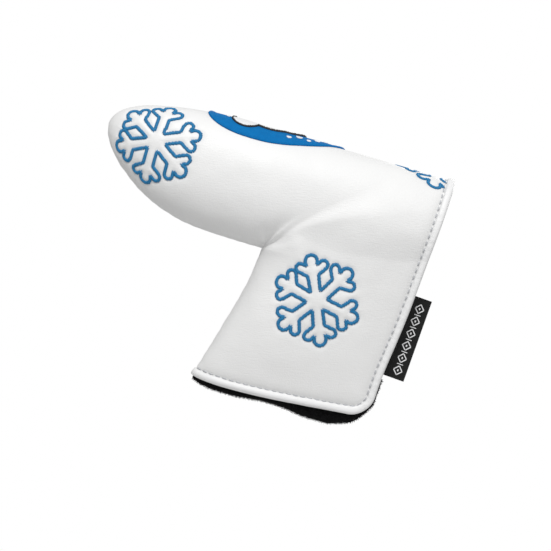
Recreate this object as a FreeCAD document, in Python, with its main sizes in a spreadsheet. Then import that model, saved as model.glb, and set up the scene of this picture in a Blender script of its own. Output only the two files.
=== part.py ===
"""Blade putter head cover: a padded leather pocket with two flaps that close round the shaft.

Frame: +Z up with the sole side on top, -X towards the toe, -Y towards the front face, and the origin at
the centre of the mouth, where the putter's shaft leaves. Millimetres.

The padded wall is three plies, one inside another. Every ply, and all that is sewn on the wall, is cut from
nested envelopes: the cover's outer form, drawn in or let out by an inset. An envelope is a lofted blade, a
lofted neck and a flat closure band. Prisms drawn in side view then cut the plies to the outline and split
them at the fold, where each flap hinges.
"""
import FreeCAD, Part
import math
import os
import Sketcher

V = FreeCAD.Vector
doc = FreeCAD.newDocument("head_cover")

# ---------------------------------------------------------------- driving dimensions

SIZES = {
    "blade_half_height": 29.0,
    "blade_half_width": 24.0,
    "blade_centre_height": 96.3,
    "blade_knee": -30.0,  # X where the toe's taper starts, above the inner corner
    "toe_length": 88.3,  # from the knee to the toe's tip
    "toe_rise": 10.5,
    "toe_sag": 15.0,  # sets how much fuller the toe is under its middle line
    "heel_reach": 90.0,  # from the knee to the last blade section, past the heel edge
    "heel_half_height": 20.0,
    "heel_half_width": 17.0,
    "heel_drop": 2.0,
    "neck_left": -45.7,  # X of the neck's closed edge at the mouth
    "neck_left_lean": 0.224,  # its slope, X per Z
    "heel_edge": 43.5,  # X of the heel edge at the mouth, binding included
    "heel_edge_lean": 0.081,
    "mouth_edge_lean": 0.021,  # slope of the bottom edge, Z per X
    "corner_radius": 11.0,
    "closure_width": 14.0,  # from the heel edge to the end of the neck's bulge
    "closure_half_thickness": 7.0,
    "closure_top": 90.0,
    "leather": 1.0,
    "foam": 3.0,
    "lining": 1.5,
    "binding_tape": 0.8,
    "binding_bead": 1.0,  # how far the binding stands past the plies' edge
    "binding_width": 4.2,
    "fold_gap": 0.6,
    "fold_foot_x": -44.6,  # where the fold line meets the neck's closed edge
    "fold_foot_z": 5.0,
    "fold_lean": 0.908,  # its slope, X per Z
    "flap_gap": 0.4,  # between the two flaps, face to face
    "thread": 0.7,
    "stitch": 2.5,
    "stitch_pitch": 3.6,
    "stitch_inset": 5.3,  # from the outer edge to the row of stitches
    "flake_reach": 21.3,
    "flake_thread": 1.4,
    "toe_flake_x": -93.2,
    "toe_flake_z": 103.4,
    "neck_flake_x": 2.1,
    "neck_flake_z": 49.7,
    "sole_flake_x": 41.4,
    "sole_flake_y": 5.5,
    "sole_flake_reach": 16.5,
    "sole_flake_inset": 6.6,  # clear of the stitches by the heel's binding
    "sole_flake_level": 108.0,  # clear of the back flap as it folds
    "sole_level": 100.0,  # where the prisms that reach up through the sole start
    "patch_centre": -37.5,
    "patch_half_length": 35.0,
    "patch_half_width": 18.0,
    "patch_border": 1.6,
    "motif_outline": 0.8,
    "strip_width": 13.0,
    "strip_length": 60.0,
    "strip_thickness": 1.3,
    "strip_foot": 18.0,
    "strip_inset": 8.0,
    "label_length": 41.0,
    "label_reach": 8.8,  # how far it stands out of the heel edge
    "label_tail": 4.5,  # how far it runs in under the binding
    "label_thickness": 0.8,
    "label_foot": 22.3,
    "label_back": 0.65,
    "tool_reach": 60.0,  # half the depth of the cutting prisms
}
NECK_LEVELS = ((-6.0, 13.0), (30.0, 13.5), (60.0, 15.0), (80.0, 17.0), (96.0, 17.5))  # Z, half thickness
TOE_STATIONS = (0.985, 0.95, 0.88, 0.77, 0.62, 0.42, 0.2)  # shares of toe_length
HEEL_STATIONS = (0.0, 0.25, 0.5, 0.75, 1.0)  # shares of heel_reach
TOE_POWER = 2.2
FLAKE_LOBES = ((17.6, -18.0, 1.3), (18.9, 0.0, 2.2), (17.6, 18.0, 1.3))  # radius, angle, lobe radius
NECK_FLAKE_TURN = 22.0

sheet = doc.addObject("Spreadsheet::Sheet", "Sizes")
for row, (alias, value) in enumerate(SIZES.items(), start=1):
    sheet.set(f"A{row}", alias)
    sheet.set(f"B{row}", str(value))
    sheet.setAlias(f"B{row}", alias)
doc.recompute()

WALL = "Sizes.leather + Sizes.foam + Sizes.lining"
HEEL_LINE = "Sizes.heel_edge + Sizes.heel_edge_lean * {z}"
FOLD_LINE = "Sizes.fold_foot_x + Sizes.fold_lean * ({z} - Sizes.fold_foot_z)"
FRONT, BACK, UP = V(0, -1, 0), V(0, 1, 0), V(0, 0, 1)
FLAT = FreeCAD.Rotation()
UPRIGHT = FreeCAD.Rotation(V(1, 0, 0), 90)  # a sketch's own X and Y become X and Z
CROSSWISE = FreeCAD.Rotation(V(0, 1, 0), -90)  # an ellipse's major axis becomes Z


def size(expression):
    """The value of an expression written on the sheet's aliases."""
    return float(sheet.evalExpression(expression))


def bind(obj, **expressions):
    """Binds an object's properties to the sheet; Base_x stands for Placement.Base.x."""
    for name, expression in expressions.items():
        obj.setExpression(name.replace("Base_", "Placement.Base."), expression)
    return obj


# ---------------------------------------------------------------- booleans


def cut(name, base, tool):
    made = doc.addObject("Part::Cut", name)
    made.Base, made.Tool = base, tool
    return made


def common(name, *shapes):
    made = doc.addObject("Part::MultiCommon", name)
    made.Shapes = list(shapes)
    return made


def fuse(name, *shapes):
    made = doc.addObject("Part::MultiFuse", name)
    made.Shapes = list(shapes)
    return made


# ---------------------------------------------------------------- envelopes


def loft(name, sections):
    made = doc.addObject("Part::Loft", name)
    made.Sections = sections
    made.Solid = True
    return made


def blade_section(name, along, half_height, half_width, centre):
    section = doc.addObject("Part::Ellipse", name)
    section.Placement = FreeCAD.Placement(V(0, 0, 0), CROSSWISE)
    return bind(section, MajorRadius=half_height, MinorRadius=half_width, Base_x=along, Base_z=centre)


def blade_pocket(name, inset):
    """Ellipses along X, closing at the toe and narrowing a little to the heel."""
    sections = []
    for i, share in enumerate(TOE_STATIONS):
        taper = f"(1 - {share} ^ {TOE_POWER}) ^ 0.5"
        sag = f"Sizes.toe_sag * {share ** 2 * (1 - share ** 3) ** 1.5} / 2"
        sections.append(blade_section(
            f"{name}_toe_{i}",
            f"Sizes.blade_knee - (Sizes.toe_length - ({inset})) * {share}",
            f"(Sizes.blade_half_height - ({inset})) * {taper} + {sag}",
            f"(Sizes.blade_half_width - ({inset})) * {taper}",
            f"Sizes.blade_centre_height + Sizes.toe_rise * {share ** 2} - {sag}"))
    for i, share in enumerate(HEEL_STATIONS):
        lost = f"(Sizes.blade_half_height - Sizes.heel_half_height) * {share ** 2}"
        narrowed = f"(Sizes.blade_half_width - Sizes.heel_half_width) * {share ** 1.5}"
        sections.append(blade_section(
            f"{name}_heel_{i}",
            f"Sizes.blade_knee + Sizes.heel_reach * {share}",
            f"Sizes.blade_half_height - {lost} - ({inset})",
            f"Sizes.blade_half_width - {narrowed} - ({inset})",
            f"Sizes.blade_centre_height + {lost} - Sizes.heel_drop * {share ** 2}"))
    return loft(name, sections)


def neck_bulge(name, inset):
    """Ellipses up Z round the shaft, from the neck's closed edge to the closure band."""
    sections = []
    for i, (level, half_thickness) in enumerate(NECK_LEVELS):
        left = f"(Sizes.neck_left + Sizes.neck_left_lean * {level})"
        right = f"({HEEL_LINE.format(z=level)} - Sizes.closure_width)"
        section = doc.addObject("Part::Ellipse", f"{name}_{i}")
        section.Placement = FreeCAD.Placement(V(0, 0, level), FLAT)
        bind(section,
             MajorRadius=f"({right} - {left}) / 2 - ({inset})",
             MinorRadius=f"{half_thickness} - ({inset})",
             Base_x=f"({left} + {right}) / 2")
        sections.append(section)
    return loft(name, sections)


def closure_band(name, inset):
    """Where the two flaps lie parallel, from the neck's middle to past the heel edge."""
    box = doc.addObject("Part::Box", name)
    box.Placement.Base = V(12, 0, -5)
    half = f"(Sizes.closure_half_thickness - ({inset}))"
    return bind(box, Length="70", Width=f"2 * {half}", Base_y=f"-{half}", Height="Sizes.closure_top + 5")


def envelope(name, inset):
    return fuse(name,
                blade_pocket(name + "_blade", inset),
                neck_bulge(name + "_neck", inset),
                closure_band(name + "_closure", inset))


INSETS = {
    "motif_face": "-1.3",
    "motif_seat": "-0.95",
    "trim_face": "-0.9",
    "trim_seat": "-0.05",
    "outside": "0",
    "under_leather": "Sizes.leather",
    "under_foam": "Sizes.leather + Sizes.foam",
    "inside": WALL,
    "binding_inside": f"{WALL} + Sizes.binding_tape",
}
forms = {name: envelope(name, inset) for name, inset in INSETS.items()}


def skin(name, outer, inner, *regions):
    """The layer between two envelopes, within every region given."""
    return cut(name, common(name + "_block", forms[outer], *regions), forms[inner])


# ---------------------------------------------------------------- sketches and prisms


def polygon(sketch, corners):
    """Closes straight edges through corners, whose distances from the sketch's origin are bound."""
    places = [V(size(x), size(y), 0) for x, y in corners]
    count = len(places)
    for i, place in enumerate(places):
        sketch.addGeometry(Part.LineSegment(place, places[(i + 1) % count]), False)
    for i in range(count):
        sketch.addConstraint(Sketcher.Constraint("Coincident", i, 2, (i + 1) % count, 1))
    for i, (x, y) in enumerate(corners):
        for kind, expression, value in (("DistanceX", x, places[i].x), ("DistanceY", y, places[i].y)):
            index = sketch.addConstraint(Sketcher.Constraint(kind, -1, 1, i, 1, value))
            sketch.setExpression(f"Constraints[{index}]", expression)
    return sketch


def sketch_at(name, rotation, **base):
    sketch = doc.addObject("Sketcher::SketchObject", name)
    sketch.Placement = FreeCAD.Placement(V(0, 0, 0), rotation)
    return bind(sketch, **base)


def extrude(name, base, way, both_ways=False):
    made = doc.addObject("Part::Extrusion", name)
    made.Base = base
    made.DirMode = "Custom"
    made.Dir = way
    made.Solid = True
    made.LengthRev = 0
    bind(made, LengthFwd="Sizes.tool_reach")
    if both_ways:
        bind(made, LengthRev="Sizes.tool_reach")
    return made


def side_prism(name, corners):
    return extrude(name, polygon(sketch_at(name + "_sketch", UPRIGHT), corners), FRONT, both_ways=True)


def outline_prism(name, inset):
    """The cover's outline in side view, drawn in by an inset: heel edge, round corner, bottom edge."""
    corner = (f"Sizes.heel_edge - (1 - Sizes.heel_edge_lean) * ({inset})", inset)
    sharp = side_prism(name + "_sharp", [
        corner,
        (f"{HEEL_LINE.format(z=140)} - ({inset})", "140"),
        ("-130", "140"),
        ("-130", f"({inset}) - Sizes.mouth_edge_lean * (Sizes.heel_edge + 130)"),
    ])
    doc.recompute()
    at_corner = [
        i for i, edge in enumerate(sharp.Shape.Edges, start=1)
        if all(math.hypot(v.X - size(corner[0]), v.Z - size(inset)) < 0.01 for v in edge.Vertexes)
    ]
    rounded = doc.addObject("Part::Fillet", name)
    rounded.Base = sharp
    radius = size(f"Sizes.corner_radius - ({inset})")
    rounded.Edges = [(i, radius, radius) for i in at_corner]
    return rounded


def fold_prism(name, shift, far_x):
    """All that lies between the fold line, moved along X by a shift, and a far edge."""
    return side_prism(name, [
        (f"{FOLD_LINE.format(z=-60)} + {shift}", "-60"),
        (far_x, "-60"),
        (far_x, "150"),
        (f"{FOLD_LINE.format(z=150)} + {shift}", "150"),
    ])


def half_space(name, foot):
    """A block on one side of the middle plane, short of it by half the gap between the flaps."""
    box = doc.addObject("Part::Box", name)
    box.Placement.Base = V(-150, 0, -60)
    return bind(box, Length="300", Width="Sizes.tool_reach", Height="210", Base_y=foot)


full_outline = outline_prism("full_outline", "0")
ply_outline = outline_prism("ply_outline", "Sizes.binding_bead")
inner_outline = outline_prism("inner_outline", "Sizes.binding_width")
binding_band = cut("binding_band", full_outline, inner_outline)
lap_band = cut("lap_band", ply_outline, inner_outline)
past_fold = fold_prism("past_fold", "Sizes.fold_gap / 2", "150")
REGIONS = {
    "body": fold_prism("body_region", "0 - Sizes.fold_gap / 2", "-150"),
    "front_flap": common("front_flap_region", past_fold,
                         half_space("front_half", "0 - Sizes.tool_reach - Sizes.flap_gap / 2")),
    "back_flap": common("back_flap_region", past_fold, half_space("back_half", "Sizes.flap_gap / 2")),
}

# ---------------------------------------------------------------- the padded wall and its binding

nodes = []


def node(label, shape):
    """Marks an object as a finished piece; its label names its file."""
    shape.Label = label
    nodes.append(shape)
    return shape


PLIES = {
    "leather": ("outside", "under_leather"),
    "foam": ("under_leather", "under_foam"),
    "lining": ("under_foam", "inside"),
}
for part, region in REGIONS.items():
    for ply, (outer, inner) in PLIES.items():
        label = "outer_panel" if (part, ply) == ("body", "leather") else f"{part}_{ply}"
        node(label, skin(f"{part}_{ply}_ply", outer, inner, ply_outline, region))
    tape = skin(f"{part}_tape", "trim_face", "binding_inside", binding_band, region)
    edge = skin(f"{part}_edge", "outside", "inside", lap_band, region)
    label = "sole_end_binding" if part == "body" else f"{part}_binding"
    node(label, cut(f"{part}_tape_round_edge", tape, edge))

# ---------------------------------------------------------------- stitches along the binding


def edge_run():
    """The row of stitches in side view, from the neck's closed edge round the corner and up the heel."""
    inset, radius = size("Sizes.stitch_inset"), size("Sizes.corner_radius - Sizes.stitch_inset")
    heel_lean, mouth_lean = size("Sizes.heel_edge_lean"), size("Sizes.mouth_edge_lean")
    corner = V(size("Sizes.heel_edge") - (1 - heel_lean) * inset, 0, inset)
    along_mouth = V(-1, 0, -mouth_lean).normalize()
    up_heel = V(heel_lean, 0, 1).normalize()
    half_angle = along_mouth.getAngle(up_heel) / 2
    back_off = radius / math.tan(half_angle)
    start, end = corner + along_mouth * back_off, corner + up_heel * back_off
    middle = corner + (along_mouth + up_heel).normalize() * (radius / math.sin(half_angle) - radius)
    return Part.Wire([
        Part.LineSegment(corner + along_mouth * 84, start).toShape(),
        Part.Arc(start, middle, end).toShape(),
        Part.LineSegment(end, corner + up_heel * 106).toShape(),
    ])


def dash(name, place, ahead, depth, foot):
    """One stitch's block: long along the row, thread wide, and deep enough to reach the skin."""
    box = doc.addObject("Part::Box", name)
    across = depth.cross(ahead)
    turn = FreeCAD.Rotation(ahead, across, depth, "XZY")
    length, wide = size("Sizes.stitch"), size("Sizes.thread")
    start = place + depth * foot - ahead * (length / 2) - across * (wide / 2)
    box.Placement = FreeCAD.Placement(start, turn)
    return bind(box, Length="Sizes.stitch", Width="Sizes.thread", Height="Sizes.tool_reach")


rows = {"front_flap": [], "back_flap": [], "body": []}
run = edge_run()
places = run.discretize(Distance=size("Sizes.stitch_pitch"))
for i, place in enumerate(places[1:-1], start=1):
    ahead = (places[i + 1] - places[i - 1]).normalize()
    from_fold = place.x - size(FOLD_LINE.format(z=place.z))
    if abs(from_fold) < 2.5:
        continue
    for side, way in (("front", FRONT), ("back", BACK)):
        row = rows[side + "_flap" if from_fold > 0 else "body"]
        row.append(dash(f"dash_{side}_{i}", place, ahead, way, 0.5))
heel_x = size(HEEL_LINE.format(z=118) + " - Sizes.stitch_inset")
for i in range(-3, 4):
    place = V(heel_x, i * size("Sizes.stitch_pitch"), 0)
    rows["body"].append(dash(f"dash_over_{i + 3}", place, BACK, UP, size("Sizes.sole_level")))
THREAD_NAMES = {
    "front_flap": "front_flap_binding_thread",
    "back_flap": "back_flap_binding_thread",
    "body": "sole_end_binding_thread",
}
for side, dashes in rows.items():
    blocks = doc.addObject("Part::Compound", side + "_dashes")
    blocks.Links = dashes
    node(THREAD_NAMES[side], skin(side + "_stitches", "trim_face", "trim_seat", blocks))

# ---------------------------------------------------------------- embroidered snowflakes


def polar(radius, degrees):
    return V(radius * math.sin(math.radians(degrees)), radius * math.cos(math.radians(degrees)), 0)


def flake_edges(reach):
    """A six-armed outline: straight flanks, and three round lobes at the end of each arm."""
    scale = reach / (FLAKE_LOBES[1][0] + FLAKE_LOBES[1][2])
    edges = []
    joint = polar(5.6 * scale, -30)
    for turn in range(0, 360, 60):
        stops = [(polar(12.5 * scale, turn - 11.5), None)]
        for radius, angle, lobe in FLAKE_LOBES:
            centre = polar(radius * scale, turn + angle)
            lobe_turn = turn + angle * 1.6
            outward, aside = polar(lobe * scale, lobe_turn), polar(lobe * scale, lobe_turn + 90)
            stops += [(centre - aside, None), (centre + aside, centre + outward)]
        stops += [(polar(12.5 * scale, turn + 11.5), None), (polar(5.6 * scale, turn + 30), None)]
        for place, through in stops:
            if through is None:
                edges.append(Part.LineSegment(joint, place))
            else:
                edges.append(Part.Arc(joint, through, place))
            joint = place
    return edges


def ribbon(name, line, width):
    """The face between a closed line and the same line let out by a width."""
    band = doc.addObject("Part::Offset2D", name)
    band.Source = line
    band.Fill = True
    return bind(band, Value=width)


def flake_prism(name, way, x, z, reach="Sizes.flake_reach", turn=0.0):
    rotation = FLAT if way == UP else FreeCAD.Rotation(V(0, 1, 0), turn).multiply(UPRIGHT)
    line = sketch_at(name + "_line", rotation, Base_x=x, Base_z=z)
    line.addGeometry(flake_edges(size(reach)), False)
    return extrude(name + "_prism", ribbon(name + "_band", line, "Sizes.flake_thread"), way)


for side, way in (("front", FRONT), ("back", BACK)):
    toe = flake_prism(f"toe_{side}", way, "Sizes.toe_flake_x", "Sizes.toe_flake_z")
    node(f"snowflake_toe_{side}", skin(f"toe_{side}_flake", "trim_face", "trim_seat", toe))
    neck = flake_prism(f"neck_{side}", way, "Sizes.neck_flake_x", "Sizes.neck_flake_z", turn=-NECK_FLAKE_TURN)
    for part, name in (("body", "upper"), (side + "_flap", "lower")):
        piece = skin(f"neck_{side}_{name}", "trim_face", "trim_seat", neck, REGIONS[part])
        node(f"snowflake_neck_{side}_{name}", piece)
sole = flake_prism("sole", UP, "Sizes.sole_flake_x", "Sizes.sole_flake_level", "Sizes.sole_flake_reach")
bind(sole.Base.Source, Base_y="Sizes.sole_flake_y")
by_binding = outline_prism("by_binding", "Sizes.sole_flake_inset")
node("snowflake_sole", skin("sole_flake", "trim_face", "trim_seat", sole, by_binding))

# ---------------------------------------------------------------- the sole's patch


def sole_ellipse(name, drawn_in):
    """A full ellipse that starts on its side, so that its seam keeps off the blade's own."""
    line = doc.addObject("Part::Ellipse", name)
    line.Angle1 = line.Angle2 = 90
    return bind(line,
                MajorRadius=f"Sizes.patch_half_length - ({drawn_in})",
                MinorRadius=f"Sizes.patch_half_width - ({drawn_in})",
                Base_x="Sizes.patch_centre",
                Base_z="Sizes.sole_level")


def cloud_edges():
    """A cloud's outline: arcs through round crests, from one joint between them to the next."""
    arcs = (
        ((-17, -10.5), (-9, -7)),
        ((-2.5, -8.5), (4, -5.5)),
        ((10, -4.5), (14.5, 0.5)),
        ((11, 6), (5, 5)),
        ((-2, 9.5), (-9, 6)),
        ((-16, 8.5), (-21, -1)),
    )
    joint = V(*arcs[-1][1], 0)
    edges = []
    for crest, end in arcs:
        edges.append(Part.Arc(joint, V(*crest, 0), V(*end, 0)))
        joint = V(*end, 0)
    return edges


rim = extrude("patch_rim", sole_ellipse("patch_line", "0"), UP)
field = extrude("patch_field", sole_ellipse("field_line", "Sizes.patch_border"), UP)
ring = cut("patch_ring", rim, field)
node("sole_patch_border", skin("patch_border", "trim_face", "trim_seat", ring))
node("sole_patch", skin("patch_cloth", "trim_face", "trim_seat", field))
cloud = sketch_at("cloud_line", FLAT, Base_x="Sizes.patch_centre", Base_z="Sizes.sole_level")
cloud.addGeometry(cloud_edges(), False)
cloud_prism = extrude("cloud_prism", cloud, UP)
cloud_band = extrude("cloud_band_prism", ribbon("cloud_band", cloud, "Sizes.motif_outline"), UP)
node("sole_motif", skin("cloud", "motif_face", "motif_seat", cloud_prism))
node("sole_motif_outline", skin("cloud_outline", "motif_face", "motif_seat", cloud_band))

# ---------------------------------------------------------------- hook and loop, and the side label


def plate(label, corners, face, thickness):
    """A flat piece in side view, from a face's Y towards the front by its thickness."""
    body = doc.addObject("PartDesign::Body", label + "_body")
    sketch = body.newObject("Sketcher::SketchObject", label + "_sketch")
    plane = next(f for f in body.Origin.OriginFeatures if f.Role == "XZ_Plane")
    sketch.AttachmentSupport = [(plane, "")]
    sketch.MapMode = "FlatFace"
    sketch.setExpression("AttachmentOffset.Base.z", f"0 - ({face})")
    polygon(sketch, corners)
    pad = body.newObject("PartDesign::Pad", label + "_pad")
    pad.Profile = sketch
    bind(pad, Length=thickness)
    return node(label, body)


def heel_strip(foot, length, near, far):
    """Corners of a strip along the heel edge, between two distances in from it."""
    top = f"{foot} + {length}"
    return [
        (f"{HEEL_LINE.format(z='(' + foot + ')')} - ({far})", foot),
        (f"{HEEL_LINE.format(z='(' + foot + ')')} - ({near})", foot),
        (f"{HEEL_LINE.format(z='(' + top + ')')} - ({near})", top),
        (f"{HEEL_LINE.format(z='(' + top + ')')} - ({far})", top),
    ]


strip = heel_strip("Sizes.strip_foot", "Sizes.strip_length",
                   "Sizes.strip_inset", "Sizes.strip_inset + Sizes.strip_width")
plate("hook_strip", strip, "0 - 0.15", "Sizes.strip_thickness")
plate("loop_strip", strip, "0.15 + Sizes.strip_thickness", "Sizes.strip_thickness")
tag = heel_strip("Sizes.label_foot", "Sizes.label_length", "0 - Sizes.label_reach", "Sizes.label_tail")
plate("side_label", tag, "Sizes.label_thickness - Sizes.label_back", "Sizes.label_thickness")

# ---------------------------------------------------------------- check and write

doc.recompute()
for obj in doc.Objects:
    if "Invalid" in obj.State or "Error" in obj.State:
        raise RuntimeError(f"{obj.Name} is {obj.State}")
for obj in nodes:
    if obj.Shape.isNull() or not obj.Shape.isValid() or not obj.Shape.Solids:
        raise RuntimeError(f"{obj.Label} has no valid solid")
os.makedirs("parts", exist_ok=True)
for obj in nodes:
    obj.Shape.exportStep(f"parts/{obj.Label}.step")
    print(obj.Label, len(obj.Shape.Solids), round(obj.Shape.Volume, 1))
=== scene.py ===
import bpy, math, random
import numpy as np
from mathutils import Matrix, Vector, geometry, noise
from mathutils.bvhtree import BVHTree
from mathutils.kdtree import KDTree


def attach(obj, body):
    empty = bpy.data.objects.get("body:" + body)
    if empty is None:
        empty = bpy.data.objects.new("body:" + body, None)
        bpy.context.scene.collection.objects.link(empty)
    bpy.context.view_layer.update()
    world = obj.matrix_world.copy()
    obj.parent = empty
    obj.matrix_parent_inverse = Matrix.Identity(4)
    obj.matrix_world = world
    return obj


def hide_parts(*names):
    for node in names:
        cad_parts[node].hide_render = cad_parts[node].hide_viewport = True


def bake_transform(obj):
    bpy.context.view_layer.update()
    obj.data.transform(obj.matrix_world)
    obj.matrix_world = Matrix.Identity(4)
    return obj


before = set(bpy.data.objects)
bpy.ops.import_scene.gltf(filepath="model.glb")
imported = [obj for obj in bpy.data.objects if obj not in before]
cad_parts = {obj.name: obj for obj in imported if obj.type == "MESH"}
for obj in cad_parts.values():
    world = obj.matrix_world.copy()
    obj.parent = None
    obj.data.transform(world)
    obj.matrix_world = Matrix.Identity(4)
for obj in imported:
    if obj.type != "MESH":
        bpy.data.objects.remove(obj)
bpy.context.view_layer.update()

# Geometry is worked out in millimetres in the row frame and scaled once, when a mesh is made.
MM = 0.001
random.seed(7)
FINE = 1.5  # mesh density

# ---- the cover's form

CORNER = (-30.6, 67.3)  # inner corner between blade and neck, X and Z
TOE_TIP = -119.6
NECK_X, NECK_LEAN = -45.7, 0.224  # the neck's closed edge at the mouth, and its slope, X per Z
HEEL_X, HEEL_LEAN = 43.5, 0.081  # the same of the heel edge
RIM = 1.2  # the panels end this far inside the binding's outer edge
RIM_RADIUS = 11.0
BINDING_WIDTH = 4.2
STITCH_INSET = 4.9
POWER = 2.15  # of the rounded sections
WALL = 5.5  # leather, foam and lining together
FRONT, BACK = -1.0, 1.0
SIDES = ((FRONT, "front"), (BACK, "back"))
X, Y, Z = Vector((1, 0, 0)), Vector((0, 1, 0)), Vector((0, 0, 1))
OVERLAP = 0.02  # the halves reach past the middle plane by this, so that no light shows between them


def ease(t):
    t = np.clip(t, 0, 1)
    return t * t * (3 - 2 * t)


def heel_line(z):
    return HEEL_X + HEEL_LEAN * z


def heel_edge(z):
    """X of the heel's bound edge: its straight line, drawn in a little above the lower corner."""
    return heel_line(z) - 1.9 * np.exp(-((z - 18) / 24) ** 2)


def mouth_edge(x):
    """Z of the mouth's bound edge: a slight slope that sags between its ends."""
    share = np.clip((x + 48) / 91.5, 0, 1)
    return 0.021 * (x - HEEL_X) - 2.4 * np.sin(np.pi * share ** 0.58)


def neck_left(z, inset=0.0):
    """X of the neck's closed edge, and above the inner corner of the crease that goes on from it."""
    up = np.maximum(z - CORNER[1], 0)
    below = z < CORNER[1]
    bow = 1.4 * np.sin(np.pi * np.clip(z / CORNER[1], 0, 1) ** 1.8) - 1.9 * np.exp(-z / 16) * below
    return np.where(below, NECK_X + NECK_LEAN * z + bow, CORNER[0] + 0.56 * up + 0.0077 * up ** 2) + inset


def blade(x, inset):
    """Height over and under the middle, half width and middle height of the blade pocket's section."""
    t = np.clip((-30 - x) / (89.6 - inset), 0, 1)
    s = np.clip((x + 30) / 90, 0, None)
    taper = np.sqrt(np.clip(1 - t ** 2.2, 0, 1))
    over = (29 - 9 * s ** 2 - inset) * taper
    sag = 16 * t ** 2 * np.clip(1 - t ** 2, 0, 1) ** 1.5
    return (over + 0.9 * np.sin(np.pi * t) ** 2, over + sag, (23.6 - 8.0 * s ** 1.5 - inset) * taper,
            96.3 + 10.5 * t ** 2 + 7 * s ** 2)


# The neck's half thickness at each level, smoothed so that no level shows as a step.
LEVELS = np.arange(-20, 130, 0.5)
THICK = np.interp(LEVELS, [-10, 6, 22, 40, 55, 76, 96, 140], [12.2, 13.0, 16.6, 19.2, 20.3, 20.9, 22.2, 22.2])
THICK = np.convolve(np.pad(THICK, 12, mode="edge"), np.ones(25) / 25, mode="valid")


def outline_depth(x, z):
    """Distance in from the bound edge, round its lower corner."""
    from_heel = heel_edge(z) - x
    from_mouth = z - mouth_edge(x)
    a, b = RIM_RADIUS - from_heel, RIM_RADIUS - from_mouth
    inside = np.minimum(from_heel, from_mouth)
    return np.where((a > 0) & (b > 0), RIM_RADIUS - np.hypot(a, b), inside)


def fold(across, share, hollow, lip):
    """A crease in the leather, from full depth near its start to nothing at a share of 1 of its length."""
    strength = ease(share * 12) * (1 - ease(share))
    soft = 0.5 + 2.6 * np.clip(share, 0, 1)
    step = np.tanh(across / soft)
    size = np.where(across < 0, hollow * np.exp(-(across / 7.5) ** 2), lip * np.exp(-(across / 4) ** 2))
    return strength * step * size


def half_depth(x, z, inset=0.0):
    """How far the surface stands from the middle plane at X and Z."""
    over, under, width, centre = blade(x, inset)
    level = np.clip(np.abs(z - centre) / np.maximum(np.where(z > centre, over, under), 1e-6), 0, 1)
    body = width * (1 - level ** POWER) ** (1 / POWER)

    left, right = neck_left(z, inset), heel_edge(z)
    straight = NECK_X + NECK_LEAN * z + 2.4 * np.log1p(np.exp(np.clip(z - CORNER[1] - 6, -60, 60) / 7))
    across = (x - straight) / np.maximum(right - straight, 1)
    closed = 0.55 + 0.22 * ease((z - 25) / 70)  # share of the bulge that is left at the heel edge
    thick = np.interp(z, LEVELS, THICK) * (1 - (1 - closed) * ease((across - 0.38) / 0.66)) - inset
    thick = thick * np.sqrt(np.clip(1 - np.maximum(z - 91, 0) ** 2 / (30.0 - inset) ** 2, 0, 1))
    reach = 2 + 30 * np.exp(-np.log1p(np.exp(np.clip(z - CORNER[1] - inset, -60, 60) / 3)) * 3 / 7)
    reach = reach + 42 * ease((z - 76) / 34)
    rise = np.clip((x - left) / reach, 0, 1)
    neck = thick * (1 - (1 - rise) ** 2.3) ** (1 / 2.3)

    both = np.minimum(body, neck)
    from_corner = np.hypot(x - CORNER[0], z - CORNER[1])
    blur = (1.2 + 8 * ease((from_corner - 6) / 36)) * np.clip(both / 7, 0, 1)
    near = np.maximum(blur - np.abs(body - neck), 0) / np.maximum(blur, 1e-6)
    depth = np.maximum(body, neck) + near ** 2 * blur / 4

    # Two folds run up and across from the inner corner: a hollow on one side of each, a lip on the other.
    up = z - CORNER[1]
    depth = depth + fold(x - left - 0.4, up / 24, 2.5, 0.9)
    share = ((x - CORNER[0]) * 0.93 + up * 0.37) / 25
    depth = depth + fold(((x - CORNER[0]) * 0.33 - up * 0.94) + 3.2 * share ** 2, share, 1.0, 0.6)

    # The padding is sewn down under the binding and puffs up inside it.
    edge = outline_depth(x, z)
    off_tape = np.maximum(edge - BINDING_WIDTH, 0)
    sewn = 1.9 * np.exp(-off_tape / 5.0) + 0.9 * np.exp(-off_tape / 1.3)
    sewn = sewn * np.clip(depth / 7, 0, 1)
    return np.maximum(depth - sewn, 0)


def wall(inset, x, z):
    """A ply's inset, less near the bound edge, where the wall is pressed thin."""
    return inset * (1 - 0.36 * np.exp(-np.maximum(outline_depth(x, z) - 2, 0) / 6))


# ---- panel grids


def quicken(t, a=0.35):
    """Rises slowly at first, then evenly: it crowds a grid's lines where the surface turns away."""
    return t * t * (1 + a) / (t + a)


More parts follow.
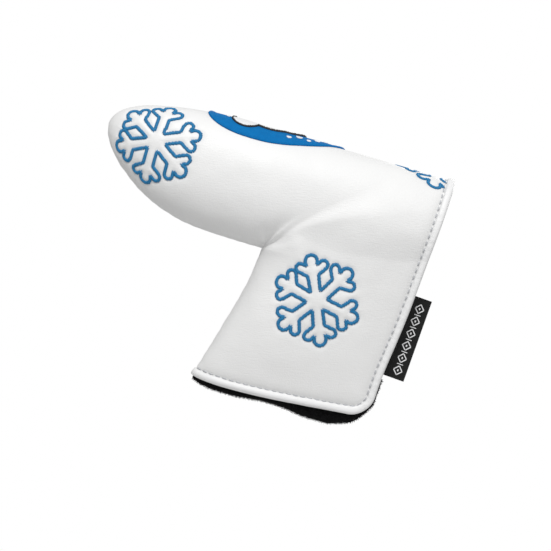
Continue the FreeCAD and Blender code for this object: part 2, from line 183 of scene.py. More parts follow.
class Grid:
    """A half of the cover as rows and columns: blade columns from the toe, with the neck's hung below."""

    def __init__(self, inset, scale):
        toe, self.neck = round(76 * scale), round(78 * scale)
        rows, below = round(76 * scale), round(58 * scale)
        corner_x, corner_z = CORNER[0] + 1.224 * inset, CORNER[1] + inset
        turn = np.linspace(math.pi / 2, 0, toe + 1)[1:]
        left = corner_x - (corner_x - TOE_TIP - inset) * np.sin(turn)
        phi = np.linspace(0, math.pi, rows + 1)
        swing = np.sign(np.cos(phi)) * np.abs(np.cos(phi)) ** (2 / POWER)
        over, under, _, centre = blade(left, inset)
        lx = np.repeat(left[:, None], rows + 1, 1)
        lz = centre[:, None] + np.where(swing[None, :] > 0, over[:, None], under[:, None]) * swing[None, :]

        share = quicken(np.linspace(0, 1, self.neck + 1))[1:]
        fall = np.linspace(0, 1, rows + 1)
        rx = np.repeat((corner_x + (heel_edge(100) - RIM - corner_x) * share)[:, None], rows + 1, 1)
        for _ in range(3):
            over, _, _, centre = blade(rx, inset)
            top = centre + over
            mix = ease((rx - corner_x) / 26)
            drop = (1 - mix) * (1 - swing[None, :]) / 2 + mix * quicken(fall)[None, :]
            rz = top - (top - corner_z) * drop
            rx = corner_x + (heel_edge(rz) - RIM - corner_x) * share[:, None]

        down = np.linspace(0, 1, below + 1)[1:]
        first = np.concatenate([[0], share])
        nz = np.repeat((corner_z * (1 - down))[None, :], self.neck + 1, 0)
        nx = nz * 0
        for _ in range(4):
            nx = neck_left(nz, inset) + (heel_edge(nz) - RIM - neck_left(nz, inset)) * first[:, None]
            low = mouth_edge(nx) + RIM
            nz = corner_z + (low - corner_z) * down[None, :]
        nx, nz = self.round_corner(nx, nz)

        self.rows, self.columns = rows + 1, toe + self.neck
        self.upper = self.columns * self.rows
        tip = blade(np.array([TOE_TIP + inset]), inset)[3]
        self.x = np.concatenate([lx.ravel(), rx.ravel(), nx.ravel(), [TOE_TIP + inset]])
        self.z = np.concatenate([lz.ravel(), rz.ravel(), nz.ravel(), tip])
        self.toe, self.below = toe, below
        depth = half_depth(self.x, self.z, wall(inset, self.x, self.z) if inset else 0.0)
        self.crest = np.zeros(len(self.x), bool)
        self.crest[np.arange(self.columns) * self.rows] = True
        self.crest[-1] = True
        depth[self.crest] = 0
        self.closed = np.zeros(len(self.x), bool)
        self.closed[np.arange(toe) * self.rows + rows] = True
        self.closed[self.upper + np.arange(below)] = True
        depth[self.closed] = 0
        self.y = depth
        self.seam_side = np.zeros(len(self.x))
        self.seam_side[:toe * self.rows] = np.tile(ease((fall - 0.25) / 0.2), toe)
        self.seam_side[self.upper:] = 1
        self.seam_side[-1] = 0.5

    @staticmethod
    def round_corner(x, z):
        """Bends the grid's square lower corner at the heel into the outline's round one."""
        radius = RIM_RADIUS - RIM
        a = radius - (heel_edge(z) - RIM - x)
        b = radius - (z - mouth_edge(x) - RIM)
        inside = (a > 0) & (b > 0)
        most = np.maximum(a, b)
        length = np.maximum(np.hypot(a, b), 1e-9)
        x = np.where(inside, x - a + a * most / length, x)
        z = np.where(inside, z + b - b * most / length, z)
        return x, z

    def at(self, column, row):
        """Index of a grid point; rows past the blade's last go on down the neck."""
        if row < self.rows:
            return column * self.rows + row
        return self.upper + (column - self.toe + 1) * self.below + row - self.rows

    def faces(self):
        found = []
        tip = len(self.x) - 1
        for j in range(self.rows - 1):
            found.append((tip, self.at(0, j), self.at(0, j + 1)))
            for i in range(self.columns - 1):
                found.append((self.at(i, j), self.at(i + 1, j), self.at(i + 1, j + 1), self.at(i, j + 1)))
        last = self.rows - 1
        for i in range(self.toe - 1, self.columns - 1):
            for k in range(self.below):
                found.append((self.at(i, last + k), self.at(i + 1, last + k),
                              self.at(i + 1, last + k + 1), self.at(i, last + k + 1)))
        return found

    def edge_loop(self):
        """Indices round the half: along the crest, down the heel, along the mouth, and back by the seams."""
        end, last = self.columns - 1, self.rows - 1 + self.below
        loop = [len(self.x) - 1] + [self.at(i, 0) for i in range(self.columns)]
        self.heel_start = len(loop) - 1
        loop += [self.at(end, j) for j in range(1, last + 1)]
        loop += [self.at(i, last) for i in range(end - 1, self.toe - 2, -1)]
        self.mouth_end = len(loop) - 1
        loop += [self.at(self.toe - 1, j) for j in range(last - 1, self.rows - 1, -1)]
        loop += [self.at(i, self.rows - 1) for i in range(self.toe - 1, -1, -1)]
        return loop

    def points(self, side):
        return np.stack([self.x, self.y * side, self.z], 1)


def vertex_normals(points, faces):
    normals = np.zeros_like(points)
    for size in (3, 4):
        group = np.array([f for f in faces if len(f) == size])
        if len(group):
            p = points[group]
            n = np.cross(p[:, 2] - p[:, 0], p[:, -1] - p[:, 1])
            for k in range(size):
                np.add.at(normals, group[:, k], n)
    return normals / np.maximum(np.linalg.norm(normals, axis=1, keepdims=True), 1e-9)


def new_object(name, data):
    made = bpy.data.objects.new(name, data)
    bpy.context.scene.collection.objects.link(made)
    return made


def mesh_object(name, points, faces):
    """A smooth-shaded object from points in millimetres."""
    mesh = bpy.data.meshes.new(name)
    mesh.from_pydata((np.asarray(points) * MM).tolist(), [], faces)
    mesh.polygons.foreach_set("use_smooth", [True] * len(mesh.polygons))
    return new_object(name, mesh)


def surface_noise(points, size, seed):
    """Smooth noise from -1 to 1 at each point, with features about size mm across."""
    shift = Vector((seed * 13.1, seed * 7.7, seed * 3.3))
    return np.array([noise.noise(Vector(p) / size + shift) for p in points])


# ---- snowflake outlines

ARM_ANGLES = (0, 57, 124, 182, 242, 306)  # uneven, as drawn by hand


def even_line(line, step):
    """A closed line of complex places, spaced evenly along itself."""
    closed = np.concatenate([line, line[:1]])
    lengths = np.concatenate([[0], np.cumsum(np.abs(np.diff(closed)))])
    spots = np.linspace(0, lengths[-1], int(lengths[-1] / step), endpoint=False)
    return np.interp(spots, lengths, closed.real) + 1j * np.interp(spots, lengths, closed.imag)


def flake_outline(step=0.45):
    """Closed line of a six-armed snowflake as (radius, angle) pairs, evenly spaced along the line."""
    marks = []

    def polar(radius, degrees):
        return complex(radius * math.sin(math.radians(degrees)), radius * math.cos(math.radians(degrees)))

    count = len(ARM_ANGLES)
    for k, arm in enumerate(ARM_ANGLES):
        before = (ARM_ANGLES[k - 1] - (360 if k == 0 else 0) + arm) / 2
        marks += [polar(5.1, before), polar(5.2, before + 2), polar(12.4, arm - 12.4)]
        lobes = ((17.3, -18.6, 2.15, -140, 40), (18.9, 0, 2.9, -105, 105), (17.3, 18.6, 2.15, -40, 140))
        for i, (radius, angle, lobe, first, last) in enumerate(lobes):
            if i:
                marks.append(polar(16.9, arm + (-8.4 if i == 1 else 8.4)))
            for turn in range(first, last + 1, 20):
                marks.append(polar(radius, arm + angle) + polar(lobe, arm + turn))
        after = (ARM_ANGLES[(k + 1) % count] + (360 if k == count - 1 else 0) + arm) / 2
        marks += [polar(12.4, arm + 12.4), polar(5.2, after - 2)]
    line = even_line(np.array(marks), 0.25)
    for _ in range(3):
        line = (np.roll(line, 1) + 2 * line + np.roll(line, -1)) / 4
    return [(abs(p), math.degrees(math.atan2(p.real, p.imag))) for p in even_line(line, step)]


class Skin:
    """A surface that lines can be laid on."""

    def __init__(self, points, faces):
        self.tree = BVHTree.FromPolygons([Vector(p) for p in points], faces)

    def nearest(self, place):
        spot, normal, _, _ = self.tree.find_nearest(Vector(place))
        return spot, normal

    def walk(self, start, heading, distance, steps=14):
        """Goes straight over the surface from a place, as a stencil wraps round it."""
        spot, normal = self.nearest(start)
        ahead = (heading - normal * heading.dot(normal)).normalized()
        for _ in range(steps):
            spot, normal = self.nearest(spot + ahead * (distance / steps))
            ahead = (ahead - normal * ahead.dot(normal)).normalized()
        return spot


def lay_flake(skin, centre, up, outward, turn, size):
    """The outline laid on the skin round a centre, its first arm turned clockwise from up."""
    across = up.cross(outward)
    places = []
    for radius, angle in flake_outline():
        a = math.radians(angle + turn)
        heading = up * math.cos(a) + across * math.sin(a)
        places.append(skin.walk(centre, heading, radius * size))
    return places


# ---- materials


def material(name, colour, roughness=0.5, **sockets):
    made = bpy.data.materials.new(name)
    made.use_nodes = True
    shader = made.node_tree.nodes["Principled BSDF"]
    shader.inputs["Base Color"].default_value = (*colour, 1)
    shader.inputs["Roughness"].default_value = roughness
    for key, value in sockets.items():
        shader.inputs[key.replace("_", " ")].default_value = value
    return made


def add(mat, kind, links=(), **values):
    """A node with its inputs set by name and linked from (input, node, output) triples."""
    made = mat.node_tree.nodes.new(kind)
    for key, value in values.items():
        if key in made.inputs:
            made.inputs[key].default_value = value
        else:
            setattr(made, key, value)
    for key, node, output in links:
        mat.node_tree.links.new(node.outputs[output], made.inputs[key])
    return made


def mottle(mat, where, scale, detail):
    """Noise in object space."""
    return add(mat, "ShaderNodeTexNoise", [("Vector", where, "Object")], Scale=scale, Detail=detail)


def bump(mat, height, output, strength, distance, below=None):
    """Adds a height to a material's bump chain and returns the bump node."""
    links = [("Height", height, output)]
    if below:
        links.append(("Normal", below, "Normal"))
    made = add(mat, "ShaderNodeBump", links, Strength=strength, Distance=distance)
    mat.node_tree.links.new(made.outputs["Normal"], mat.node_tree.nodes["Principled BSDF"].inputs["Normal"])
    return made


def tint(mat, source, output, low, high):
    """Base colour runs between two tints as a 0 to 1 value does."""
    ramp = mat.node_tree.nodes.new("ShaderNodeValToRGB")
    ramp.color_ramp.elements[0].color = (*low, 1)
    ramp.color_ramp.elements[1].color = (*high, 1)
    shader = mat.node_tree.nodes["Principled BSDF"]
    mat.node_tree.links.new(source.outputs[output], ramp.inputs["Fac"])
    mat.node_tree.links.new(ramp.outputs["Color"], shader.inputs["Base Color"])


def leather(name, low, high, fine=1.0):
    """White coated leather: pebbled grain crossed by hairline rows, over faint clouding."""
    mat = material(name, high, 0.5, Coat_Weight=0.1, Coat_Roughness=0.4)
    where = add(mat, "ShaderNodeTexCoord")
    cloud = mottle(mat, where, 45.0, 3.0)
    tint(mat, cloud, "Fac", low, high)
    rows = add(mat, "ShaderNodeMapping", [("Vector", where, "Object")], vector_type="TEXTURE",
               Rotation=(0, math.radians(-15), 0), Scale=(1.0, 1.0, 0.16))
    grain = add(mat, "ShaderNodeTexVoronoi", [("Vector", where, "Object")], Scale=1500.0 * fine)
    lines = add(mat, "ShaderNodeTexNoise", [("Vector", rows, "Vector")], Scale=330.0 * fine, Detail=3.0,
                Roughness=0.6)
    first = bump(mat, grain, "Distance", 0.3, 0.00015)
    bump(mat, lines, "Fac", 0.45, 0.0003, first)
    return mat


def thread_material(name, low, high):
    """Twisted, slightly shiny thread whose tone shifts from stitch to stitch."""
    mat = material(name, high, 0.42)
    where = add(mat, "ShaderNodeTexCoord")
    tone = mottle(mat, where, 900.0, 2.0)
    tint(mat, tone, "Fac", low, high)
    fibres = mottle(mat, where, 5200.0, 2.0)
    bump(mat, fibres, "Fac", 0.6, 0.0001)
    return mat


def plush_material(name, low, high):
    """Dull tufted cloth."""
    mat = material(name, high, 0.95, Specular_IOR_Level=0.15, Sheen_Weight=0.04)
    where = add(mat, "ShaderNodeTexCoord")
    tuft = mottle(mat, where, 700.0, 3.0)
    tint(mat, tuft, "Fac", low, high)
    bump(mat, tuft, "Fac", 0.9, 0.0008)
    return mat


WHITE = leather("white_leather", (0.80, 0.80, 0.795), (0.86, 0.86, 0.855))
BINDING = leather("white_binding", (0.80, 0.80, 0.80), (0.88, 0.88, 0.88), 1.3)
FOAM = plush_material("foam", (0.45, 0.45, 0.4), (0.6, 0.6, 0.55))
PLUSH = plush_material("black_plush", (0.002, 0.002, 0.002), (0.009, 0.009, 0.01))
BLUE = thread_material("blue_thread", (0.003, 0.125, 0.30), (0.006, 0.235, 0.50))
GREY = thread_material("grey_thread", (0.42, 0.43, 0.45), (0.62, 0.63, 0.65))


def dress(obj, mat):
    obj.data.materials.append(mat)
    return obj


# ---- build the outer surface

outer = Grid(0.0, FINE)
OUTER_FACES = outer.faces()


def crest_normals(points, faces):
    """Vertex normals, kept in the middle plane along the crest, where the two halves meet."""
    normals = vertex_normals(points, faces)
    normals[outer.crest, 1] = 0
    return normals / np.maximum(np.linalg.norm(normals, axis=1, keepdims=True), 1e-9)


def laid_surface(side):
    """The outer surface of one half, with gentle waves and sewn seams."""
    points = outer.points(side)
    faces = OUTER_FACES if side > 0 else [f[::-1] for f in OUTER_FACES]
    normals = crest_normals(points, faces)
    even = points * np.array([1, side, 1])
    quiet = ease(outline_depth(outer.x, outer.z) / 12)
    push = 0.45 * surface_noise(points, 26, 1) * quiet + 0.16 * surface_noise(points, 9, 2) * quiet
    seam = outer.seam_side * np.exp(-(outer.y / 1.5) ** 2)
    run = surface_noise(even, 3.5, 3)
    push -= 0.75 * seam
    push += 0.3 * run * outer.seam_side * np.exp(-(outer.y / 5.0) ** 2)
    moved = points + normals * push[:, None]
    moved[outer.closed | outer.crest, 1] = -OVERLAP * side
    return moved, faces


surfaces = {side: laid_surface(side) for side in (FRONT, BACK)}


def whole_skin():
    """The two halves as one surface."""
    points = np.concatenate([surfaces[FRONT][0], surfaces[BACK][0]])
    shifted = [tuple(i + len(outer.x) for i in f) for f in surfaces[BACK][1]]
    return Skin(points, surfaces[FRONT][1] + shifted)


whole = whole_skin()
FLAKES = {}  # centre, up, outward, turn and size
for side, where in SIDES:
    FLAKES[f"snowflake_toe_{where}"] = (Vector((-95.6, 24 * side, 104.8)), Z, Y * side, -56, 1.035)
    FLAKES[f"snowflake_neck_{where}"] = (Vector((2.0, 20 * side, 49.2)), Z, Y * side, -23, 1.035)
FLAKES["snowflake_sole"] = (Vector((44.5, 12.5, 130)), -Y, Z, 180, 1.0)
flake_lines = {flake: lay_flake(whole, *place) for flake, place in FLAKES.items()}
all_lines = [p for line in flake_lines.values() for p in line]
tree = KDTree(len(all_lines))
for i, p in enumerate(all_lines):
    tree.insert(p, i)
tree.balance()


def pulled(points, faces):
    """Draws the leather down along the embroidered lines."""
    normals = vertex_normals(points, faces)
    gap = np.array([tree.find(Vector(p))[2] for p in points])
    away = ease(outline_depth(points[:, 0], points[:, 2]) / 6)
    sink = (0.55 * np.exp(-(gap / 1.5) ** 2) + 0.35 * np.exp(-(gap / 6) ** 2)) * away
    return points - normals * sink[:, None]


for side, (points, faces) in list(surfaces.items()):
    lower = pulled(points, faces)
    lower[outer.closed] = points[outer.closed]
    lower[outer.crest, 1] = -OVERLAP * side
    surfaces[side] = (lower, faces)
skins = {side: Skin(points, faces) for side, (points, faces) in surfaces.items()}
whole = whole_skin()

# ---- plies

FLAP = {FRONT: "front_flap", BACK: "back_flap"}


def bend(obj):
    """Bakes the piece's placement into its mesh; nothing here bends it across its flap's fold."""
    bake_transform(obj)


def shell(name, outside, inside, faces, side):
    """Closes two sheets of one grid into a ply: smooth normals on its sheets, flat ones on its rim."""
    count = len(outside)
    loop = outer.edge_loop()
    flip = [tuple(i + count for i in f[::-1]) for f in faces]
    rim = [(a, b, b + count, a + count) if side > 0 else (b, a, a + count, b + count)
           for a, b in zip(loop, loop[1:] + loop[:1])]
    made = mesh_object(name, np.concatenate([outside, inside]), faces + flip + rim)
    mesh = made.data
    table = np.concatenate([crest_normals(outside, faces), -crest_normals(inside, faces)])
    loops = np.zeros(len(mesh.loops), int)
    mesh.loops.foreach_get("vertex_index", loops)
    split = table[loops]
    for polygon in list(mesh.polygons)[len(faces) * 2:]:
        for k in polygon.loop_indices:
            split[k] = polygon.normal
    mesh.normals_split_custom_set(split.tolist())
    return made


def inner_surface(inset, side):
    """A ply's own surface; at the fastening the padding under the lining comes in to meet the strips."""
    grid = Grid(inset, FINE)
    if inset > 2:
        left = neck_left(grid.z)
        across = (grid.x - left) / (heel_edge(grid.z) - left)
        limit = 1.62 + 1.02 * (WALL - inset)
        close = (np.maximum(grid.y, 1e-4) ** -4.0 + limit ** -4) ** -0.25 * (grid.y > 0)
        grid.y = grid.y + (close - grid.y) * ease((across - 0.4) / 0.34) * ease((104 - grid.z) / 34)
    return grid.points(side)


PLIES = (  # name, insets of its outer and inner sheet, material, slot, and the pocket's node
    ("leather", None, 1.0, WHITE, "white_leather", "outer_panel"),
    ("foam", 1.06, 3.96, FOAM, "foam", "body_foam"),
    ("lining", 4.02, WALL, PLUSH, "black_plush", "body_lining"),
)
for ply, near, far, mat, slot, pocket_node in PLIES:
    for side, where in SIDES:
        points, faces = surfaces[side]
        outside = points if near is None else inner_surface(near, side)
        inside = inner_surface(far, side)
        made = shell(f"{where}_{ply}", outside, inside, faces, side)
        dress(made, mat)
        nodes = [f"{FLAP[side]}_{ply}"] + ([pocket_node] if side == FRONT else [])
        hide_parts(*nodes)
        bend(made)

# ---- laying small things on a surface


def distances(line):
    """Distance along a line of points to each of them."""
    return np.concatenate([[0], np.cumsum(np.linalg.norm(np.diff(line, axis=0), axis=1))])


def along(line, step):
    """Evenly spaced places on a line of points, each with its direction."""
    line = np.array([tuple(p) for p in line])
    lengths = distances(line)
    count = max(2, round(lengths[-1] / step))
    spots = np.linspace(0, lengths[-1], count)
    ahead = np.clip(spots + 0.3, 0, lengths[-1])
    behind = np.clip(spots - 0.3, 0, lengths[-1])

    def at(where):
        return np.stack([np.interp(where, lengths, line[:, k]) for k in range(3)], 1)

    heading = at(ahead) - at(behind)
    return at(spots), heading / np.maximum(np.linalg.norm(heading, axis=1, keepdims=True), 1e-9)


def tube_faces(rings, width, base=0, turn=1):
    """Quads round a row of rings of points, with a cap on each end; a turn of -1 faces them the other way."""
    faces = []
    last = base + (rings - 1) * width
    for low in range(base, last, width):
        for k in range(width):
            n = (k + 1) % width
            faces.append((low + k, low + n, low + width + n, low + width + k)[::turn])
    return faces + [tuple(range(base, base + width))[::-turn], tuple(range(last, last + width))[::turn]]


class Parts:
    """Collects many small shapes into one mesh."""

    def __init__(self):
        self.points, self.faces = [], []

    def bar(self, spine, up, widths, heights, sides=6):
        """A rounded bar along a spine of points, with a half width and half height at each."""
        base = len(self.points)
        count = len(spine)
        for i, place in enumerate(spine):
            ahead = (spine[min(i + 1, count - 1)] - spine[max(i - 1, 0)]).normalized()
            side = ahead.cross(up).normalized()
            top = side.cross(ahead)
            for k in range(sides):
                a = 2 * math.pi * k / sides
                self.points.append(place + side * (math.cos(a) * widths[i])
                                   + top * (math.sin(a) * heights[i]))
        for i in range(count - 1):
            for k in range(sides):
                n = (k + 1) % sides
                row, after = base + i * sides, base + (i + 1) * sides
                self.faces.append((row + k, after + k, after + n, row + n))
        self.faces.append(tuple(base + k for k in range(sides)))
        self.faces.append(tuple(base + (count - 1) * sides + k for k in range(sides))[::-1])

    def made(self, name):
        return mesh_object(name, self.points, self.faces)


def unbroken(line, gap=1.5):
    """Splits a closed line of places where some were left out; a whole one comes back closed."""
    jumps = [i for i in range(len(line)) if (line[i] - line[i - 1]).length > gap]
    if not jumps:
        return [line + line[:1]]
    line = line[jumps[0]:] + line[:jumps[0]]
    cuts = [i for i in range(1, len(line)) if (line[i] - line[i - 1]).length > gap] + [len(line)]
    return [line[a:b] for a, b in zip([0] + cuts, cuts) if b - a > 4]


def satin(parts, line, skin, width, step=0.42, slant=20, height=0.5):
    """Adds satin stitches over a line: short slanted threads side by side, their ends sewn down."""
    places, headings = along(line, step)
    for place, heading in zip(places, headings):
        spot, normal = skin.nearest(place)
        ahead = Vector(heading)
        ahead = (ahead - normal * ahead.dot(normal)).normalized()
        across = normal.cross(ahead)
        lean = math.radians(slant + random.uniform(-3, 3))
        thread = (across * math.cos(lean) + ahead * math.sin(lean)) * (width / 2 / math.cos(lean))
        lift = height * random.uniform(0.88, 1.1)
        reach = random.uniform(0.97, 1.04)
        spine = [spot + thread * (t * reach) + normal * (0.08 + lift * (1 - abs(t) ** 2.5))
                 for t in (-1, -0.62, 0, 0.62, 1)]
        parts.bar(spine, normal, (0.16, 0.27, 0.29, 0.27, 0.16), (0.12, 0.24, 0.26, 0.24, 0.12), 6)


STITCH_LENGTH, STITCH_PITCH, STITCH_RADIUS = 2.5, 3.6, 0.36


def running_stitches(name, places, skin):
    """Separate stitches in a row, each sunk at its ends."""
    length, pitch, radius = STITCH_LENGTH, STITCH_PITCH, STITCH_RADIUS
    parts = Parts()
    gaps = distances(places)
    total = int(gaps[-1] / pitch)
    for k in range(total):
        start = (k + 0.5) * pitch
        spine = []
        for t in (-1, -0.7, 0, 0.7, 1):
            at = start + t * length / 2
            where = Vector([np.interp(at, gaps, places[:, i]) for i in range(3)])
            spot, normal = skin.nearest(where)
            spine.append(spot + normal * (radius * (0.75 - 1.3 * abs(t) ** 3)))
        parts.bar(spine, normal, [radius * w for w in (0.55, 0.95, 1, 0.95, 0.55)],
                  [radius * w for w in (0.5, 0.85, 0.9, 0.85, 0.5)], 7)
    return parts.made(name)


# ---- embroidered snowflakes

for flake, line in flake_lines.items():
    parts = Parts()
    for run in unbroken([p for p in line if outline_depth(p.x, p.z) > 4.6]):
        satin(parts, run, whole, 1.7)
    made = parts.made(flake.replace("snowflake", "embroidery"))
    dress(made, BLUE)
    if "neck" in flake:
        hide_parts(flake + "_upper", flake + "_lower")
        bend(made)
    else:
        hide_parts(flake)
        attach(made, "cover_body")

# ---- binding


def inward(x, z):
    """Direction in side view from the bound edge into the panel."""
    step = 0.2
    dx = outline_depth(x + step, z) - outline_depth(x - step, z)
    dz = outline_depth(x, z + step) - outline_depth(x, z - step)
    length = np.maximum(np.hypot(dx, dz), 1e-9)
    return dx / length, dz / length


def edge_run(side):
    """The panel's bound edge from the sole's crest down the heel and along the mouth, outside and inside."""
    loop = outer.edge_loop()[outer.heel_start:outer.mouth_end + 1]
    outside = surfaces[side][0][loop]
    inside = inner_surface(WALL, side)[loop]
    places, _ = along(outside, 0.6)
    lengths = distances(outside)
    spots = np.linspace(0, lengths[-1], len(places))
    within = np.stack([np.interp(spots, lengths, inside[:, k]) for k in range(3)], 1)
    return places, within


# Distance in from the edge and height over the leather along the tape's outer leg.
OUTER_LEG = ((2.95, -0.15), (3.05, 0.3), (2.92, 0.7), (2.5, 1.08), (1.9, 1.34), (1.2, 1.48), (0.5, 1.5))


def binding(name, side):
    """Leather tape rolled over the panel's edge, a little uneven where it is pulled tight."""
    places, within = edge_run(side)
    count = len(places)
    skin = skins[side]
    rows = []
    for i in range(count):
        outside, inside = Vector(places[i]), Vector(within[i])
        dx, dz = inward(outside.x, outside.z)
        _, normal = skin.nearest(outside)
        flat = Vector((float(dx), 0, float(dz)))
        into = (flat - normal * flat.dot(normal)).normalized()
        wave = noise.noise(Vector((i * 0.09, side * 5, 0)))
        pucker = noise.noise(Vector((i * 0.32, side * 5, 4)))
        row = []
        for u, h in OUTER_LEG:
            reach = u + (0.22 * wave if u > 2 else 0)
            spot, n = skin.nearest(outside + into * reach)
            row.append(spot + n * (h * (1 + 0.12 * pucker)))
        across = (inside - outside).normalized()
        top, low = outside - across * 1.46, inside + across * 0.8
        for a in np.linspace(math.radians(75), math.radians(-75), 9):
            out = -into * (math.cos(a) * (1.15 + 0.06 * wave))
            row.append((top + low) / 2 + (top - low) / 2 * math.sin(a) + out)
        for u in (0.6, 1.6, 2.6, 3.0):
            row.append(inside + across * (0.8 if u < 3 else 0.1) + into * u)
        tip = min((count - 1 - i) / 4, 1)  # the tape's end at the closed corner is rounded off
        middle, shrink = sum(row, Vector()) / len(row), 0.25 + 0.75 * math.sqrt(1 - (1 - tip) ** 2)
        rows.append([middle + (p - middle) * shrink for p in row])
    faces = tube_faces(count, len(rows[0]), turn=int(side))
    return mesh_object(name, [p for row in rows for p in row], faces)


for side, where in SIDES:
    made = binding(f"{where}_binding", side)
    dress(made, BINDING)
    nodes = [f"{where}_flap_binding"] + (["sole_end_binding"] if side == FRONT else [])
    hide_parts(*nodes)
    bend(made)
    loop = outer.edge_loop()[outer.heel_start:outer.mouth_end + 1]
    rim = surfaces[side][0][loop]
    row = []
    for p in rim:
        dx, dz = inward(p[0], p[2])
        spot, _ = skins[side].nearest(Vector(p) + Vector((float(dx), 0, float(dz))) * (STITCH_INSET - RIM))
        row.append(spot)
    made = running_stitches(f"{where}_binding_thread", along(row, 0.5)[0], skins[side])
    dress(made, GREY)
    nodes = [f"{where}_flap_binding_thread"] + (["sole_end_binding_thread"] if side == FRONT else [])
    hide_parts(*nodes)
    bend(made)

# ---- the sole's patch

PATCH = {"centre": -38.2, "half_length": 35.3, "half_width": 19.0, "skew": 0.16}
PATCH_INSET = 0.3  # the cloth ends this far inside the edging's outer line


def on_sole(x, arc):
    """A place on the sole: X, and the distance over the surface from the crest, towards the back."""
    top = Vector((x, 0, 135))
    return whole.walk(top, Y * (1 if arc > 0 else -1), abs(arc), 10) if arc else whole.nearest(top)[0]


SOLE_X = np.linspace(PATCH["centre"] - 37, PATCH["centre"] + 37, 75)
SOLE_ARC = np.linspace(-21, 21, 43)
sole_map = np.array([[tuple(on_sole(x, arc)) for arc in SOLE_ARC] for x in SOLE_X])


def sole_place(x, arc):
    """The same from a table worked out once, and its normal."""
    i = np.clip((x - SOLE_X[0]) / (SOLE_X[1] - SOLE_X[0]), 0, len(SOLE_X) - 1.001)
    j = np.clip((arc - SOLE_ARC[0]) / (SOLE_ARC[1] - SOLE_ARC[0]), 0, len(SOLE_ARC) - 1.001)
    a, b, u, v = int(i), int(j), i % 1, j % 1
    spot = ((1 - u) * ((1 - v) * sole_map[a, b] + v * sole_map[a, b + 1])
            + u * ((1 - v) * sole_map[a + 1, b] + v * sole_map[a + 1, b + 1]))
    return whole.nearest(spot)


def patch_slab(name, outline, top, under, bevel=0.35):
    """A thin slab laid on the sole inside a closed outline of (x, arc) pairs, its edge rounded over."""
    outline = np.array(outline)
    count = len(outline)
    ahead = np.roll(outline, -1, 0) - np.roll(outline, 1, 0)
    ahead /= np.linalg.norm(ahead, axis=1, keepdims=True)
    shrunk = outline + np.stack([-ahead[:, 1], ahead[:, 0]], 1) * bevel * 0.7
    low, high = outline.min(0), outline.max(0)
    spots = [(x, arc) for x in np.arange(low[0], high[0], 1.3) for arc in np.arange(low[1], high[1], 1.3)]
    ring = [Vector(p) for p in shrunk]
    flat, _, cells, *_ = geometry.delaunay_2d_cdt(
        ring + [Vector(p) for p in spots], [], [list(range(count))], 1, 1e-4)
    points, faces = [], []
    for lift, turn in ((top, 1), (under, -1)):
        base = len(points)
        for place in flat:
            spot, normal = sole_place(*place)
            points.append(spot + normal * lift)
        faces += [tuple(base + i for i in cell)[::turn] for cell in cells]
    base = len(points)
    for place in outline:
        spot, normal = sole_place(*place)
        points.append(spot + normal * (top - bevel))
    for k in range(count):
        n = (k + 1) % count
        faces.append((base + k, base + n, n, k))
        faces.append((len(flat) + k, len(flat) + n, base + n, base + k))
    return mesh_object(name, points, faces)


def ellipse_outline(inset, count=200):
    """The patch's outline as (x, arc) pairs, skewed along the sole."""
    a = np.linspace(0, 2 * math.pi, count, endpoint=False)
    x, arc = (PATCH["half_length"] - inset) * np.cos(a), (PATCH["half_width"] - inset) * np.sin(a)
    return np.stack([PATCH["centre"] + x, arc + PATCH["skew"] * x], 1)


# The cloud's bulges: a crest and an end each, from the end of the one before.
CLOUD = (((-17, -12.7), (-9, -7.6)), ((-2.5, -8.5), (4, -5.5)), ((10, -4.5), (14.5, 0.5)),
         ((11, 6), (5, 5)), ((-2, 9.5), (-9, 6)), ((-16, 8.5), (-21, -1)))


def arc_through(start, crest, end, count):
    """Points on the circle's arc from start by crest to end, start left out."""
    a, b, c = complex(*start), complex(*crest), complex(*end)
    w = (c - a) / (b - a)
    centre = (b - a) * (w - abs(w) ** 2) / (2j * w.imag) + a
    first = np.angle(a - centre)
    via = (np.angle(b - centre) - first) % (2 * math.pi)
    sweep = (np.angle(c - centre) - first) % (2 * math.pi)
    if via > sweep:
        sweep -= 2 * math.pi
    turns = first + sweep * np.arange(1, count + 1) / count
    found = centre + abs(a - centre) * np.exp(1j * turns)
    return [(p.real, p.imag) for p in found]


def cloud_outline(count=16):
    outline = []
    for (_, start), (crest, end) in zip(CLOUD[-1:] + CLOUD, CLOUD):
        outline += arc_through(start, crest, end, count)
    return np.array(outline) + np.array([PATCH["centre"], 0])


def twill_cloth(name, low, high):
    """Twill cloth: slanted ribs two thirds of a millimetre apart, broken by the weft."""
    mat = material(name, high, 0.75, Specular_IOR_Level=0.12)
    where = add(mat, "ShaderNodeTexCoord")
    turned = add(mat, "ShaderNodeMapping", [("Vector", where, "Object")], Rotation=(0, 0, math.radians(38)))
    ribs = add(mat, "ShaderNodeTexWave", [("Vector", turned, "Vector")], Scale=480.0, Distortion=0.6)
    weft = add(mat, "ShaderNodeTexWave", [("Vector", where, "Object")], Scale=700.0, Distortion=0.8)
    cloud = mottle(mat, where, 300.0, 3.0)
    tint(mat, cloud, "Fac", low, high)
    first = bump(mat, ribs, "Fac", 0.5, 0.0002)
    bump(mat, weft, "Fac", 0.3, 0.0001, first)
    return mat


PATCH_BLUE = twill_cloth("patch_twill", (0.001, 0.13, 0.38), (0.002, 0.185, 0.50))
SNOW = thread_material("motif_white", (0.78, 0.79, 0.8), (0.9, 0.9, 0.9))
INK = thread_material("motif_black", (0.006, 0.006, 0.007), (0.02, 0.02, 0.022))

patch = patch_slab("sole_patch_cloth", ellipse_outline(PATCH_INSET), 0.55, -0.1)
dress(patch, PATCH_BLUE)
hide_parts("sole_patch")
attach(patch, "cover_body")


def satin_edge(name, line, mat, width, slant, height):
    """Close satin stitches round a closed line of places on the sole."""
    parts = Parts()
    satin(parts, line + line[:1], whole, width, step=0.34, slant=slant, height=height)
    return dress(parts.made(name), mat)


